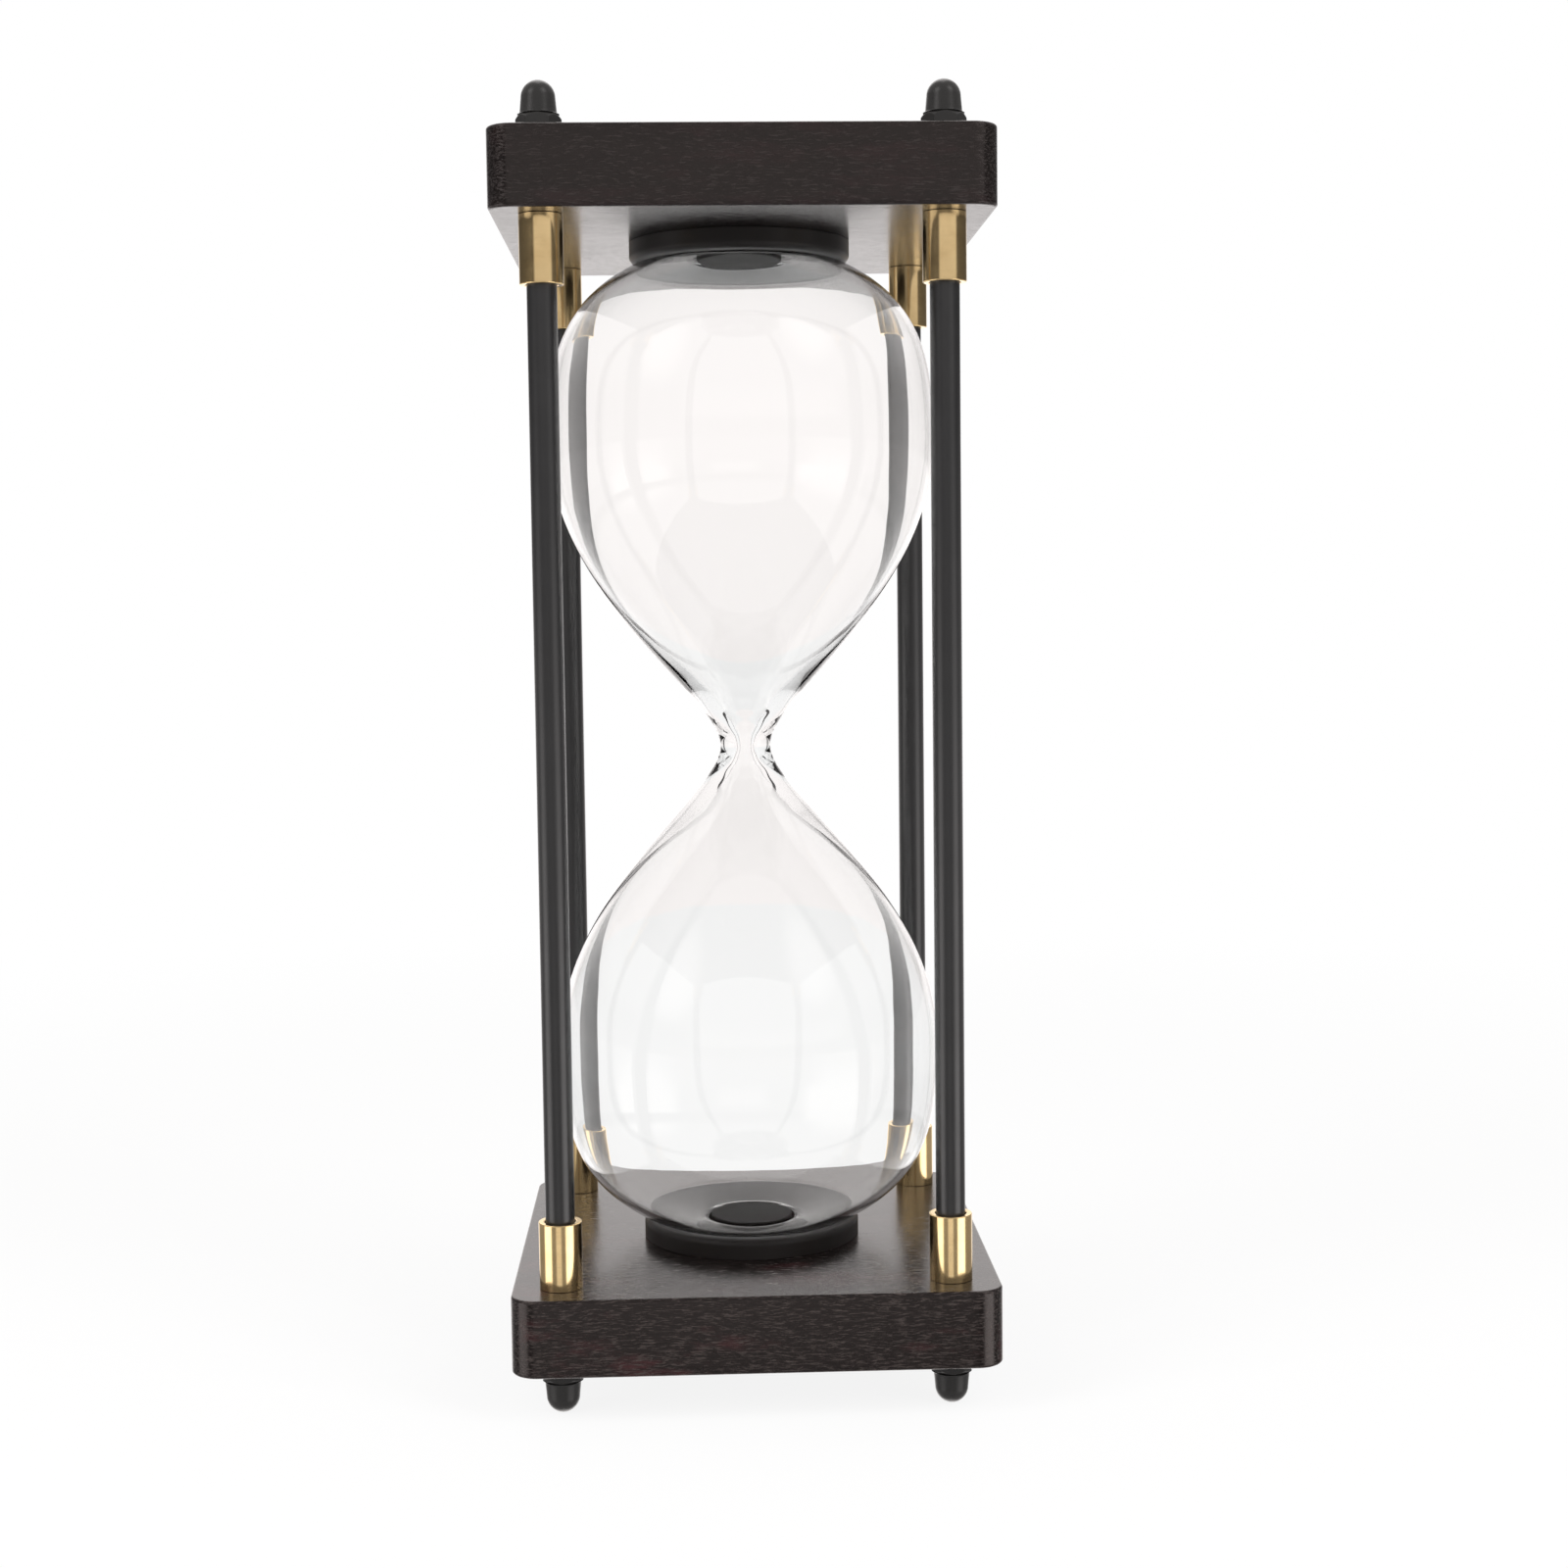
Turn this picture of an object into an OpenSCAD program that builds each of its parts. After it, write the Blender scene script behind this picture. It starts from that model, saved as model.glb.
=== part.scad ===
// Framed hourglass: a two-bulb blown glass clamped between two square hardwood
// plates by four steel rods. Acorn nuts close the rod ends, and the lower four
// are the feet. Millimetres, +Z up, origin on the ground under the middle.

/* [Plates] */
// Side of each square plate
plate_side = 100; // [96:1:120]
// Thickness of each plate
plate_thick = 16; // [10:0.5:22]
// Radius of a plate's upright corners
plate_corner_r = 5.5; // [3:0.5:9]
// Small flat along a plate's long edges
plate_ease = 0.7; // [0.3:0.1:1.5]
// Height of the open space between the two plates
plate_gap = 216; // [205:1:240]
// Hole through a plate for a threaded rod end
plate_hole_d = 5.5; // [5.3:0.1:6]

/* [Rods] */
// Distance between neighbouring rods, centre to centre
rod_spacing = 80; // [78:0.5:82]
// Diameter of a rod between its ferrules
rod_d = 6; // [5.8:0.1:7]
// Diameter of a rod's threaded ends
thread_d = 5; // [4.5:0.1:5.1]
// Length of threaded end that stands out of a plate into its nut
thread_reach = 7; // [5:0.5:7.4]
// Bevel on the tip of a threaded end
thread_bevel = 0.5; // [0.2:0.1:0.8]

/* [Ferrules] */
// Outside diameter of a brass ferrule
ferrule_d = 8.8; // [8.4:0.1:10]
// Length of a ferrule
ferrule_len = 13.8; // [10:0.2:18]
// Wall of a ferrule's tube
ferrule_wall = 1.2; // [1:0.05:1.3]
// Thickness of a ferrule's floor, clamped between rod shoulder and plate
ferrule_floor = 1; // [0.6:0.1:1.5]
// Gap around the threaded end in the ferrule's floor
ferrule_hole_gap = 0.1; // [0.05:0.05:0.25]

/* [Acorn nuts] */
// Width of the hexagon across its flats
nut_flats = 8; // [7.6:0.1:9]
// Whole height of a nut
nut_h = 10; // [9.5:0.1:12]
// Height of the hexagon
nut_hex_h = 3.3; // [2.8:0.1:4]
// Slope of the bevel on the hexagon's corners, in degrees
nut_bevel_deg = 50; // [40:1:60]
// Width of the flat land between that bevel and the dome
nut_land = 0.1; // [0.05:0.05:0.2]
// Diameter of the dome where it leaves the hexagon
nut_dome_d = 7.4; // [7:0.1:7.6]
// Diameter of the dome's round top
nut_cap_d = 6.8; // [6.6:0.1:7]
// Depth of the threaded hole
nut_bore_depth = 7.6; // [7.5:0.1:8]
// Radial gap between a nut and the threaded rod end
thread_gap = 0.05; // [0.02:0.01:0.1]

/* [Seat rings] */
// Outside diameter of a seat ring
ring_d = 47.2; // [44:0.2:52]
// Height of a seat ring
ring_h = 4.2; // [3.4:0.1:5.4]
// Rounding of the ring's outer edge on the glass side
ring_round = 1.3; // [0.8:0.1:1.6]
// Flat land between that rounding and the recess
ring_land = 0.3; // [0.2:0.1:0.6]
// Gap between the ring's recess and the glass
seat_gap = 0.3; // [0.2:0.05:0.5]
// Slope of the bulb's shoulder where it meets the flattened end on the ring, in degrees
seat_deg = 25; // [21:0.5:28]

/* [Glass] */
// Largest outside diameter of a bulb
bulb_d = 83; // [76:1:92]
// Height of a bulb's widest place over its plate
bulb_rise = 42; // [38:0.5:48]
// Outside diameter of the waist
waist_d = 10.9; // [9:0.1:13]
// Sand hole through the waist
waist_bore = 2.6; // [1.5:0.1:4]
// Wall of the bulbs
glass_wall = 1.2; // [1:0.1:1.6]
// How far the waist runs straight before it flares
waist_pull = 11; // [8:0.5:15]
// How far the bulb runs straight from its widest place towards the waist
bulb_pull_in = 34; // [28:0.5:40]
// How far the bulb runs straight from its widest place towards the plate
bulb_pull_out = 18; // [14:0.5:21]
// How far the bulb's shoulder runs straight outwards from the flattened end
seat_pull = 18; // [15:0.5:20]
// Bore of the filling mouth in each end
mouth_bore = 18.3; // [16:0.1:20]
// Inside radius of the bend between a bulb's end and its mouth
mouth_bend = 1; // [0.8:0.1:1.2]
// Straight run of the mouth between that bend and its lip
mouth_straight = 0.22; // [0.1:0.02:0.4]
// Gap between the mouth's lip and the plate
lip_gap = 0.3; // [0.2:0.1:0.8]

/* [Stoppers] */
// Height of a stopper
stopper_h = 2.9; // [2.4:0.1:3.6]
// Gap between a stopper and its plate
stopper_plate_gap = 0.4; // [0.3:0.1:0.6]
// Radial gap between a stopper and the mouth
stopper_fit = 0.05; // [0.02:0.01:0.1]
// Bevel on a stopper's edges
stopper_bevel = 0.4; // [0.2:0.1:0.6]

/* [Hidden] */
$fn = 96;

// Heights of the plate faces and of the waist
floor_z = nut_h + plate_thick;
ceiling_z = floor_z + plate_gap;
top_z = ceiling_z + plate_thick;
half_gap = plate_gap / 2;
waist_z = floor_z + half_gap;

// Rod ends
rod_pos = rod_spacing / 2;
shoulder_lower_z = floor_z + ferrule_floor;
shoulder_upper_z = ceiling_z - ferrule_floor;
thread_len = ferrule_floor + plate_thick + thread_reach;

// Seat ring
ring_r = ring_d / 2;
seat_r = ring_r - ring_round - ring_land;

// Glass mouth; the rises are heights over the plate that the mouth faces
mouth_r = mouth_bore / 2;
lip_r = mouth_r + glass_wall;
lip_rise = lip_gap + glass_wall / 2;
bend_r = lip_r + mouth_bend;
bend_rise = lip_rise + mouth_straight;

// The recess falls from its rim so that it passes the mouth's bend at the gap
ring_hole_r = bend_r + seat_gap;
rim_to_bend = [ring_h - bend_rise, seat_r - bend_r];
dish_deg = atan2(rim_to_bend[0], rim_to_bend[1])
    - asin((mouth_bend - seat_gap) / norm(rim_to_bend));

// A little extra length, so that a cut runs clear of the face it opens
cut = 1;

// ---- outline of the glass -------------------------------------------------
// Points are [h, r]: h is the distance from the waist plane, r the radius.

// Point and direction of travel on a cubic curve with four control points
function curve(p, s) =
    pow(1 - s, 3) * p[0] + 3 * pow(1 - s, 2) * s * p[1]
    + 3 * (1 - s) * s * s * p[2] + pow(s, 3) * p[3];
function curve_run(p, s) =
    pow(1 - s, 2) * (p[1] - p[0]) + 2 * (1 - s) * s * (p[2] - p[1])
    + s * s * (p[3] - p[2]);

// Unit normal that points out of the glass
function outward(run) = [-run[1], run[0]] / norm(run);

// Points on an arc; the angle is 0 along +r and 90 along +h
function arc(centre, radius, from, to, steps) =
    [for (i = [0 : steps])
        let (a = from + (to - from) * i / steps)
        centre + radius * [sin(a), cos(a)]];

widest_h = half_gap - bulb_rise;
bulb_r = bulb_d / 2;
waist_r = waist_d / 2;
seat_h = half_gap - ring_h - seat_gap / cos(dish_deg);
seat_run = [sin(seat_deg), -cos(seat_deg)];
flare = [
    [0, waist_r],
    [waist_pull, waist_r],
    [widest_h - bulb_pull_in, bulb_r],
    [widest_h, bulb_r]
];
shoulder = [
    [widest_h, bulb_r],
    [widest_h + bulb_pull_out, bulb_r],
    [seat_h, seat_r] - seat_pull * seat_run,
    [seat_h, seat_r]
];

// The wall is thick at the waist and thins to the bulbs' wall along the flare
waist_extra = waist_r - waist_bore / 2 - glass_wall;
function wall_at(s) = glass_wall + waist_extra * pow(1 - s * s, 8);

// Bend from the sloping end into the mouth; both faces share its centre
bend_centre = [half_gap - bend_rise, bend_r];
bend_from = 270 - dish_deg;
lip_centre = [half_gap - lip_rise, lip_r - glass_wall / 2];

flare_steps = 26;
shoulder_steps = 16;
bend_steps = 5;
lip_steps = 6;

outer_half = concat(
    [for (i = [0 : flare_steps]) curve(flare, i / flare_steps)],
    [for (i = [1 : shoulder_steps]) curve(shoulder, i / shoulder_steps)],
    arc(bend_centre, mouth_bend, bend_from, 180, bend_steps)
);
lip_half = arc(lip_centre, glass_wall / 2, 0, 180, lip_steps);
inner_half = concat(
    arc(bend_centre, mouth_bend + glass_wall, 180, bend_from, bend_steps),
    [for (i = [shoulder_steps : -1 : 1])
        let (s = i / shoulder_steps)
        curve(shoulder, s) - glass_wall * outward(curve_run(shoulder, s))],
    [for (i = [flare_steps : -1 : 0])
        let (s = i / flare_steps)
        curve(flare, s) - wall_at(s) * outward(curve_run(flare, s))]
);
half_outline = concat(outer_half, lip_half, inner_half);

// The lower bulb mirrors the upper one; the shared waist points appear once
last = len(half_outline) - 1;
glass_outline = concat(
    [for (p = half_outline) [p[1], p[0]]],
    [for (i = [last - 1 : -1 : 1]) [half_outline[i][1], -half_outline[i][0]]]
);

// ---- shared shapes --------------------------------------------------------

// Rectangle with its four corners cut, for the cross-section of a plate
module eased_section(width) {
    polygon([
        [-width / 2 + plate_ease, 0],
        [width / 2 - plate_ease, 0],
        [width / 2, plate_ease],
        [width / 2, plate_thick - plate_ease],
        [width / 2 - plate_ease, plate_thick],
        [-width / 2 + plate_ease, plate_thick],
        [-width / 2, plate_thick - plate_ease],
        [-width / 2, plate_ease]
    ]);
}

// Square plate with round upright corners, eased edges and four rod holes
module plate() {
    inset = plate_side / 2 - plate_corner_r;
    difference() {
        union() {
            for (turn = [0, 90])
                rotate([90, 0, turn])
                    translate([0, 0, -inset])
                        linear_extrude(2 * inset)
                            eased_section(plate_side);
            for (x = [-inset, inset], y = [-inset, inset])
                translate([x, y, 0])
                    rotate_extrude()
                        intersection() {
                            eased_section(2 * plate_corner_r);
                            square([plate_corner_r, plate_thick]);
                        }
        }
        for (x = [-rod_pos, rod_pos], y = [-rod_pos, rod_pos])
            translate([x, y, -cut])
                cylinder(d = plate_hole_d, h = plate_thick + 2 * cut);
    }
}

// Turned rod with a smaller, bevelled threaded end below and above
module rod() {
    thread_r = thread_d / 2;
    tip_r = thread_r - thread_bevel;
    lower_tip_z = shoulder_lower_z - thread_len;
    upper_tip_z = shoulder_upper_z + thread_len;
    rotate_extrude()
        polygon([
            [0, lower_tip_z],
            [tip_r, lower_tip_z],
            [thread_r, lower_tip_z + thread_bevel],
            [thread_r, shoulder_lower_z],
            [rod_d / 2, shoulder_lower_z],
            [rod_d / 2, shoulder_upper_z],
            [thread_r, shoulder_upper_z],
            [thread_r, upper_tip_z - thread_bevel],
            [tip_r, upper_tip_z],
            [0, upper_tip_z]
        ]);
}

// Drawn brass cup: a thin tube, open at the far end, with a holed floor
module ferrule() {
    difference() {
        cylinder(d = ferrule_d, h = ferrule_len);
        translate([0, 0, ferrule_floor])
            cylinder(d = ferrule_d - 2 * ferrule_wall, h = ferrule_len);
        translate([0, 0, -cut])
            cylinder(d = thread_d + 2 * ferrule_hole_gap, h = ferrule_floor + 2 * cut);
    }
}

// Acorn nut that stands on its hexagon, dome upwards; a cone bevels the corners
// and the dome's stem starts inside the hexagon
module acorn_nut() {
    cap_z = nut_h - nut_cap_d / 2;
    bevel_top_r = nut_dome_d / 2 + nut_land;
    difference() {
        union() {
            intersection() {
                cylinder(r = nut_flats / sqrt(3), h = nut_hex_h, $fn = 6);
                cylinder(
                    r1 = bevel_top_r + nut_hex_h / tan(nut_bevel_deg),
                    r2 = bevel_top_r,
                    h = nut_hex_h
                );
            }
            rotate_extrude()
                polygon([
                    [0, nut_hex_h / 2],
                    [nut_dome_d / 2, nut_hex_h / 2],
                    [nut_dome_d / 2, nut_hex_h],
                    [nut_cap_d / 2, cap_z],
                    [0, cap_z]
                ]);
            translate([0, 0, cap_z])
                sphere(d = nut_cap_d);
        }
        translate([0, 0, -cut])
            cylinder(r = thread_d / 2 + thread_gap, h = nut_bore_depth + cut);
    }
}

// Moulded ring with a dished recess for a bulb's end and a hole for its mouth
module seat_ring() {
    rounding = arc([ring_h - ring_round, ring_r - ring_round], ring_round, 0, 90, 8);
    rotate_extrude()
        polygon(concat(
            [[ring_hole_r, 0], [ring_r, 0]],
            [for (p = rounding) [p[1], p[0]]],
            [[seat_r, ring_h],
             [ring_hole_r, ring_h - (seat_r - ring_hole_r) * tan(dish_deg)]]
        ));
}

// Round plug with bevelled edges that closes a mouth
module stopper() {
    stopper_r = mouth_r - stopper_fit;
    rotate_extrude()
        polygon([
            [0, 0],
            [stopper_r - stopper_bevel, 0],
            [stopper_r, stopper_bevel],
            [stopper_r, stopper_h - stopper_bevel],
            [stopper_r - stopper_bevel, stopper_h],
            [0, stopper_h]
        ]);
}

// Puts children on one of the four rod axes: side_x is -1 left, side_y -1 front
module at_rod(side_x, side_y) {
    translate([side_x * rod_pos, side_y * rod_pos, 0])
        children();
}

// ---- nodes ----------------------------------------------------------------

module bottom_plate() {
    color([0.17, 0.13, 0.12])
        translate([0, 0, nut_h])
            plate();
}

module top_plate() {
    color([0.17, 0.13, 0.12])
        translate([0, 0, ceiling_z])
            plate();
}

module corner_rod(side_x, side_y) {
    color([0.16, 0.16, 0.17])
        at_rod(side_x, side_y)
            rod();
}

module ferrule_lower(side_x, side_y) {
    color([0.82, 0.68, 0.38])
        at_rod(side_x, side_y)
            translate([0, 0, floor_z])
                ferrule();
}

module ferrule_upper(side_x, side_y) {
    color([0.82, 0.68, 0.38])
        at_rod(side_x, side_y)
            translate([0, 0, ceiling_z])
                mirror([0, 0, 1])
                    ferrule();
}

module nut_lower(side_x, side_y) {
    color([0.13, 0.13, 0.13])
        at_rod(side_x, side_y)
            translate([0, 0, nut_h])
                mirror([0, 0, 1])
                    acorn_nut();
}

module nut_upper(side_x, side_y) {
    color([0.13, 0.13, 0.13])
        at_rod(side_x, side_y)
            translate([0, 0, top_z])
                acorn_nut();
}

module seat_ring_lower() {
    color([0.11, 0.11, 0.11])
        translate([0, 0, floor_z])
            seat_ring();
}

module seat_ring_upper() {
    color([0.11, 0.11, 0.11])
        translate([0, 0, ceiling_z])
            mirror([0, 0, 1])
                seat_ring();
}

module glass_body() {
    color([0.85, 0.9, 0.9, 0.4])
        translate([0, 0, waist_z])
            rotate_extrude()
                polygon(glass_outline);
}

module stopper_lower() {
    color([0.1, 0.1, 0.1])
        translate([0, 0, floor_z + stopper_plate_gap])
            stopper();
}

module stopper_upper() {
    color([0.1, 0.1, 0.1])
        translate([0, 0, ceiling_z - stopper_plate_gap])
            mirror([0, 0, 1])
                stopper();
}

bottom_plate();
top_plate();
corner_rod(-1, -1);  // rod_front_left
corner_rod(1, -1);  // rod_front_right
corner_rod(-1, 1);  // rod_back_left
corner_rod(1, 1);  // rod_back_right
ferrule_lower(-1, -1);  // ferrule_lower_front_left
ferrule_lower(1, -1);  // ferrule_lower_front_right
ferrule_lower(-1, 1);  // ferrule_lower_back_left
ferrule_lower(1, 1);  // ferrule_lower_back_right
ferrule_upper(-1, -1);  // ferrule_upper_front_left
ferrule_upper(1, -1);  // ferrule_upper_front_right
ferrule_upper(-1, 1);  // ferrule_upper_back_left
ferrule_upper(1, 1);  // ferrule_upper_back_right
nut_lower(-1, -1);  // nut_lower_front_left
nut_lower(1, -1);  // nut_lower_front_right
nut_lower(-1, 1);  // nut_lower_back_left
nut_lower(1, 1);  // nut_lower_back_right
nut_upper(-1, -1);  // nut_upper_front_left
nut_upper(1, -1);  // nut_upper_front_right
nut_upper(-1, 1);  // nut_upper_back_left
nut_upper(1, 1);  // nut_upper_back_right
seat_ring_lower();
seat_ring_upper();
glass_body();
stopper_lower();
stopper_upper();
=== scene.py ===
import math

import bmesh
import bpy
import numpy as np
from mathutils import Euler, Matrix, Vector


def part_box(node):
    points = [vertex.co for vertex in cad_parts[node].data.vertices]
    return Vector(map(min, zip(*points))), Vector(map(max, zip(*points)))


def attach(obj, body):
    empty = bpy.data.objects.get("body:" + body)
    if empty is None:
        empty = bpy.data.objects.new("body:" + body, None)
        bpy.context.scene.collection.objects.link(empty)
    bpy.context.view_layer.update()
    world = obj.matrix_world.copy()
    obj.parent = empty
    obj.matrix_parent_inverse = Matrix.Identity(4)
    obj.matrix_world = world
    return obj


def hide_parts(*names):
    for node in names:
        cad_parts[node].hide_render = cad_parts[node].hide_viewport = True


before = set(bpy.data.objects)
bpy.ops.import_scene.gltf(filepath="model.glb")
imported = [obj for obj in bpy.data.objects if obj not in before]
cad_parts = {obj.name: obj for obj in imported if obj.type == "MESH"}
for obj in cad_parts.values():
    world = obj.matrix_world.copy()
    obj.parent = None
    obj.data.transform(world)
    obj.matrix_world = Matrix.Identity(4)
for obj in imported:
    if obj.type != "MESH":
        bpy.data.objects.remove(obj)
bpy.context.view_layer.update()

# ---- Studio ----------------------------------------------------------------
# A white tent: a white floor that keeps a soft shadow, and two softboxes beside the
# camera. Gloss mirrors a surround given by direction alone, with dim walls, a pale
# panel and strips of lit table. All of it is staging, not part of the object.

camera_data = bpy.data.cameras.new("camera")
camera_data.lens = 54.2
camera_data.sensor_width = 36
camera_data.clip_start = 0.01
camera = bpy.data.objects.new("camera", camera_data)
turn_right, tilt_up, roll = 0.0385, -0.0799, -0.0119
heading = Euler((math.pi / 2 + tilt_up, 0, -turn_right)).to_matrix()
camera.matrix_world = (heading @ Matrix.Rotation(roll, 3, "Z")).to_4x4()
camera.location = (-0.0115, -0.5148, 0.1666)
bpy.context.scene.collection.objects.link(camera)
bpy.context.scene.camera = camera
bpy.context.scene.view_settings.view_transform = "Standard"


def put(tree, kind, inputs=None, **settings):
    """Adds a shader node; inputs are fed by name or number with a value or an output."""
    made = tree.nodes.new("ShaderNode" + kind)
    for key, value in settings.items():
        setattr(made, key, value)
    for key, value in (inputs or {}).items():
        if isinstance(value, bpy.types.NodeSocket):
            tree.links.new(value, made.inputs[key])
        else:
            made.inputs[key].default_value = value
    return made


def sums(tree, operation, *terms, clamp=False):
    """A Math node on values or outputs."""
    inputs = dict(enumerate(terms))
    return put(tree, "Math", inputs, operation=operation, use_clamp=clamp).outputs[0]


def ramp(tree, value, low, high, start=0.0, end=1.0):
    """A value carried smoothly from start to end while it runs from low to high."""
    inputs = {"Value": value, "From Min": low, "From Max": high, "To Min": start, "To Max": end}
    return put(tree, "MapRange", inputs, interpolation_type="SMOOTHSTEP").outputs[0]


def azimuth(tree, x, y):
    """The bearing of (x, y) in degrees, 0 towards the camera's side and positive to the right."""
    return sums(tree, "DEGREES", sums(tree, "ARCTAN2", x, sums(tree, "MULTIPLY", y, -1.0)))


def band(tree, angle, centre, half_width, soft):
    """1 within half_width of the centre, falling softly to 0 on either side."""
    off = sums(tree, "ABSOLUTE", sums(tree, "SUBTRACT", angle, centre))
    return ramp(tree, off, half_width - soft, half_width + soft, 1.0, 0.0)


def stack(tree, base, *parts):
    """A base value plus each mask times its own share."""
    total = base
    for mask, share in parts:
        total = sums(tree, "MULTIPLY_ADD", mask, share, total)
    return total


def patch(tree, angle, height, centre, reach):
    """A round soft patch of light at a (bearing, height), both in degrees."""
    across = sums(tree, "DIVIDE", sums(tree, "SUBTRACT", angle, centre[0]), reach[0])
    up = sums(tree, "DIVIDE", sums(tree, "SUBTRACT", height, centre[1]), reach[1])
    square = sums(tree, "MULTIPLY_ADD", up, up, sums(tree, "MULTIPLY", across, across))
    return ramp(tree, square, 0.0, 1.0, 1.0, 0.0)


def above_horizon(tree, angle, height):
    """Dim walls with a low pale panel behind the camera, a white back wall, two soft lamps
    above the panel and an even light over it all."""
    walls = ramp(tree, height, 10, 20, 0.09, 0.55)
    panel = sums(tree, "MULTIPLY", ramp(tree, height, 4.5, 7), ramp(tree, height, 9, 19, 1, 0))
    back = ramp(tree, sums(tree, "ABSOLUTE", angle), 142, 162)
    return stack(
        tree, walls,
        (ramp(tree, height, 3, 7, 1.0, 0.0), 0.18),
        (sums(tree, "MULTIPLY", panel, band(tree, angle, 12, 46, 6)), 0.77),
        (sums(tree, "MULTIPLY", back, ramp(tree, height, 18, 30, 1.0, 1.7)), 1.0),
        (patch(tree, angle, height, (-54, 33), (22, 22)), 1.8),
        (patch(tree, angle, height, (47, 40), (22, 22)), 1.8))


def below_horizon(tree, angle, height):
    """A white table lit in two broad strips left and right of the camera and a weaker one
    between them, crisp close to the object with painted shade just below the plate's edge, soft
    farther off and even right below it."""
    close = band(tree, height, -17.5, 4.5, 1.5)
    facing = ramp(tree, height, -17.6, -16.4, 0.3, 1.0)
    # under darkens the table just below the plate's edge, as the lower nuts mirror it: painted
    # shade for the plate's shadow on the table.
    under = ramp(tree, height, -19.2, -18.4, 1.0, 0.0)
    crisp = stack(
        tree, 0.0,
        (band(tree, angle, -67, 21, 5), 2.1),
        (sums(tree, "MULTIPLY", band(tree, angle, -6, 14, 5), facing), 0.97))
    crisp = sums(tree, "MULTIPLY", crisp, sums(tree, "SUBTRACT", 1.0, under))
    crisp = stack(tree, crisp, (band(tree, angle, 54, 22, 5), 2.4), (under, -0.15))
    soft = stack(
        tree, 0.0,
        (band(tree, angle, -67, 18, 10), 1.9),
        (band(tree, angle, 57, 18, 10), 1.8))
    soft = sums(tree, "MULTIPLY", soft, ramp(tree, height, -13.5, -2, 1.0, 0.4))
    soft = sums(tree, "MULTIPLY", soft, ramp(tree, height, -30, -20))
    back = ramp(tree, sums(tree, "ABSOLUTE", angle), 130, 160)
    rear = sums(tree, "MULTIPLY", back, ramp(tree, height, -30, -20, 1.7, 0.9))
    even = stack(tree, 0.55, (soft, 1.0), (rear, 1.0))
    near = stack(tree, 0.3, (under, -0.25), (crisp, 1.0), (back, 1.1))
    return put(tree, "Mix", {0: close, 2: even, 3: near}).outputs[0]


def build_surround():
    """White to the camera and through the glass; as a reflection, the studio above and
    below the horizon, in directions alone."""
    world = bpy.data.worlds.new("tent")
    bpy.context.scene.world = world
    world.use_nodes = True
    tree = world.node_tree
    tree.nodes.clear()
    x, y, z = put(tree, "SeparateXYZ", {0: put(tree, "TexCoord").outputs["Generated"]}).outputs
    angle = azimuth(tree, x, y)
    height = sums(tree, "DEGREES", sums(tree, "ARCSINE", z))
    over = {0: ramp(tree, height, -1.5, 0.5), 2: below_horizon(tree, angle, height),
            3: above_horizon(tree, angle, height)}
    mirrored = put(tree, "Mix", over).outputs[0]
    rays = put(tree, "LightPath").outputs
    fill_light = 0.6
    white = 1.0
    warm_white = (1, 0.965, 0.955, 1)
    level = put(tree, "Mix", {0: rays["Is Glossy Ray"], 2: fill_light, 3: mirrored}).outputs[0]
    level = put(tree, "Mix", {0: rays["Is Transmission Ray"], 2: level, 3: white}).outputs[0]
    level = put(tree, "Mix", {0: rays["Is Camera Ray"], 2: level, 3: white}).outputs[0]
    warm = {0: rays["Is Camera Ray"], 6: warm_white, 7: (1, 1, 1, 1)}
    tint = put(tree, "Mix", warm, data_type="RGBA").outputs[2]
    shine = put(tree, "Background", {"Color": tint, "Strength": level})
    tree.links.new(shine.outputs[0], put(tree, "OutputWorld").inputs[0])


build_surround()


def build_floor(radius=0.9):
    """A round white floor that takes a faint shadow; towards its rim it fades into the
    surround's white. Reflections pass it and show the surround's own strips of light."""
    spokes = np.linspace(0, 2 * np.pi, 96, endpoint=False)
    rim = np.stack([np.cos(spokes), np.sin(spokes), 0 * spokes], 1) * radius
    mesh = bpy.data.meshes.new("floor")
    mesh.from_pydata(rim.tolist(), [], [list(range(len(rim)))])
    floor = bpy.data.objects.new("floor", mesh)
    bpy.context.scene.collection.objects.link(floor)
    material = bpy.data.materials.new("studio floor")
    material.use_nodes = True
    tree = material.node_tree
    tree.nodes.clear()
    place = put(tree, "TexCoord").outputs["Object"]
    far = put(tree, "VectorMath", {0: place}, operation="LENGTH").outputs["Value"]
    rays = put(tree, "LightPath").outputs
    shaded = 0.1
    open_light = 1.2
    bounce = 0.7
    through_glass = 0.96
    fade = ramp(tree, far, 0.3 * radius, 0.75 * radius, shaded, 0.0)
    direct = rays["Is Camera Ray"]
    refracted = rays["Is Transmission Ray"]
    albedo = put(tree, "Mix", {0: direct, 2: bounce, 3: fade}).outputs[0]
    albedo = put(tree, "Mix", {0: refracted, 2: albedo, 3: 0.0}).outputs[0]
    glow = sums(tree, "MULTIPLY", direct, sums(tree, "MULTIPLY_ADD", fade, -open_light, 1.0))
    glow = put(tree, "Mix", {0: refracted, 2: glow, 3: through_glass}).outputs[0]
    grey = put(tree, "CombineColor", {0: albedo, 1: albedo, 2: albedo}).outputs[0]
    paint = put(tree, "BsdfDiffuse", {"Color": grey})
    white = put(tree, "Emission", {"Color": (1, 1, 1, 1), "Strength": glow})
    both = put(tree, "AddShader", {0: paint.outputs[0], 1: white.outputs[0]})
    passing = sums(tree, "SUBTRACT", rays["Is Glossy Ray"], refracted, clamp=True)
    clear = put(tree, "BsdfTransparent")
    cover = put(tree, "MixShader", {0: passing, 1: both.outputs[0], 2: clear.outputs[0]})
    tree.links.new(cover.outputs[0], put(tree, "OutputMaterial").inputs[0])
    mesh.materials.append(material)


build_floor()


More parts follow.
